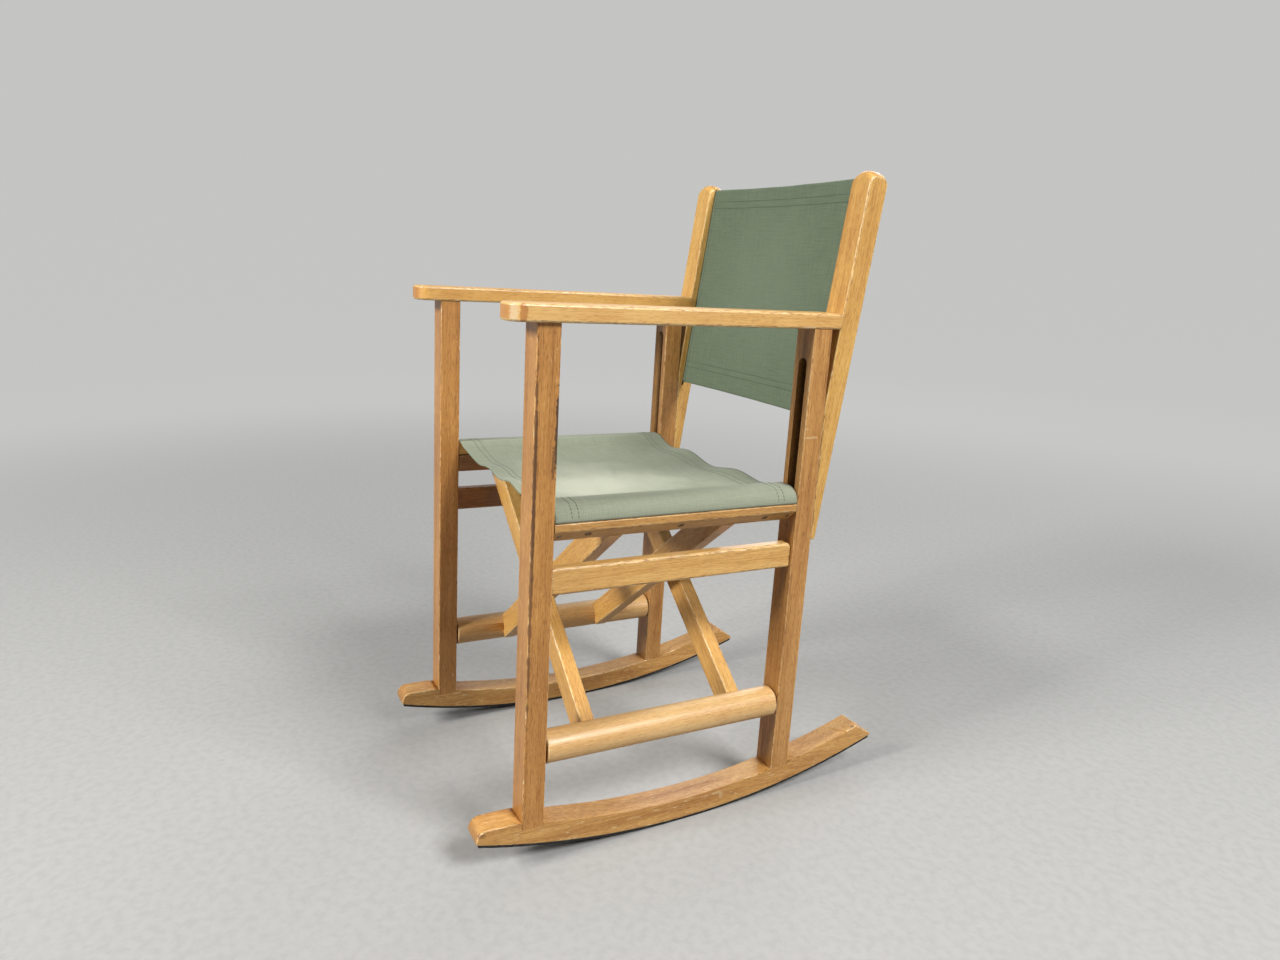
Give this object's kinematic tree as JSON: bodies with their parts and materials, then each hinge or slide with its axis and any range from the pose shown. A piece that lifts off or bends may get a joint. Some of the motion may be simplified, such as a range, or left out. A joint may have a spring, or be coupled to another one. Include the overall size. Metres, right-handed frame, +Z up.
{
  "type": "folding rocking chair",
  "caption": "Child-size folding rocking chair in the director's style: varnished wooden side frames on rockers, crossed legs, canvas seat and canvas back.",
  "frame": {"origin": "on the floor, under the middle of the chair's outline from left to right and from front to back", "axes": "+Z up, the chair faces -Y, +X to the sitter's left hand"},
  "size_m": [0.301, 0.4263, 0.594],
  "materials": {
    "beech_varnished": "honey varnish, satin, worn at the edges",
    "beech_turned": "turned beech, lightly varnished",
    "rubber_sole": "matt black strip",
    "steel": "dull zinc plate",
    "seat_canvas": "pale sage cotton canvas",
    "back_canvas": "sage green cotton canvas"
  },
  "bodies": {
    "left_side": {"rocker_left": "beech_varnished", "sole_left": "rubber_sole", "front_post_left": "beech_varnished", "rear_post_left": "beech_varnished", "arm_left": "beech_varnished", "stretcher_left": "beech_varnished", "back_upright_left": "beech_varnished", "frame_dowels_left": "beech_turned", "stretcher_pegs_left": "beech_turned", "upright_screws_left": "steel", "canvas_rod_left": "steel", "back_canvas": "back_canvas"},
    "legs_a": {"lower_rail_left": "beech_varnished", "seat_rail_right": "beech_varnished", "seat_bar_right": "beech_varnished", "bar_screws_right": "steel", "guide_pins_right": "beech_turned", "pin_nails_right": "steel", "leg_a_front": "beech_varnished", "leg_a_rear": "beech_varnished", "seat_canvas": "seat_canvas"},
    "legs_b": {"lower_rail_right": "beech_varnished", "seat_rail_left": "beech_varnished", "seat_bar_left": "beech_varnished", "bar_screws_left": "steel", "guide_pins_left": "beech_turned", "pin_nails_left": "steel", "leg_b_front": "beech_varnished", "leg_b_rear": "beech_varnished", "pivot_bolts": "steel", "pivot_washers": "steel", "pivot_nuts": "steel", "pivot_spacer": "beech_turned"},
    "right_side": {"rocker_right": "beech_varnished", "sole_right": "rubber_sole", "front_post_right": "beech_varnished", "rear_post_right": "beech_varnished", "arm_right": "beech_varnished", "stretcher_right": "beech_varnished", "back_upright_right": "beech_varnished", "frame_dowels_right": "beech_turned", "stretcher_pegs_right": "beech_turned", "upright_screws_right": "steel", "canvas_rod_right": "steel"}
  },
  "joints": [
    {"name": "fold", "type": "hinge", "parent": "left_side", "child": "legs_a", "pos_m": [-0.133, -0.03078, 0.10016], "axis": [0, -0.9994, 0.0349], "range_deg": [0, 45], "deforming": ["seat_canvas", "back_canvas"]},
    {"name": "cross_pivot", "type": "hinge", "parent": "legs_a", "child": "legs_b", "pos_m": [0, -0.02737, 0.19773], "axis": [0, -0.9994, 0.0349], "range_deg": [-90, 0]},
    {"name": "side_hinge", "type": "hinge", "parent": "legs_b", "child": "right_side", "pos_m": [0.133, -0.03078, 0.10016], "axis": [0, -0.9994, 0.0349], "range_deg": [0, 45]}
  ],
  "couplings": [
    {"joint": "cross_pivot", "follows": "fold", "ratio": -2},
    {"joint": "side_hinge", "follows": "fold", "ratio": 1}
  ]
}
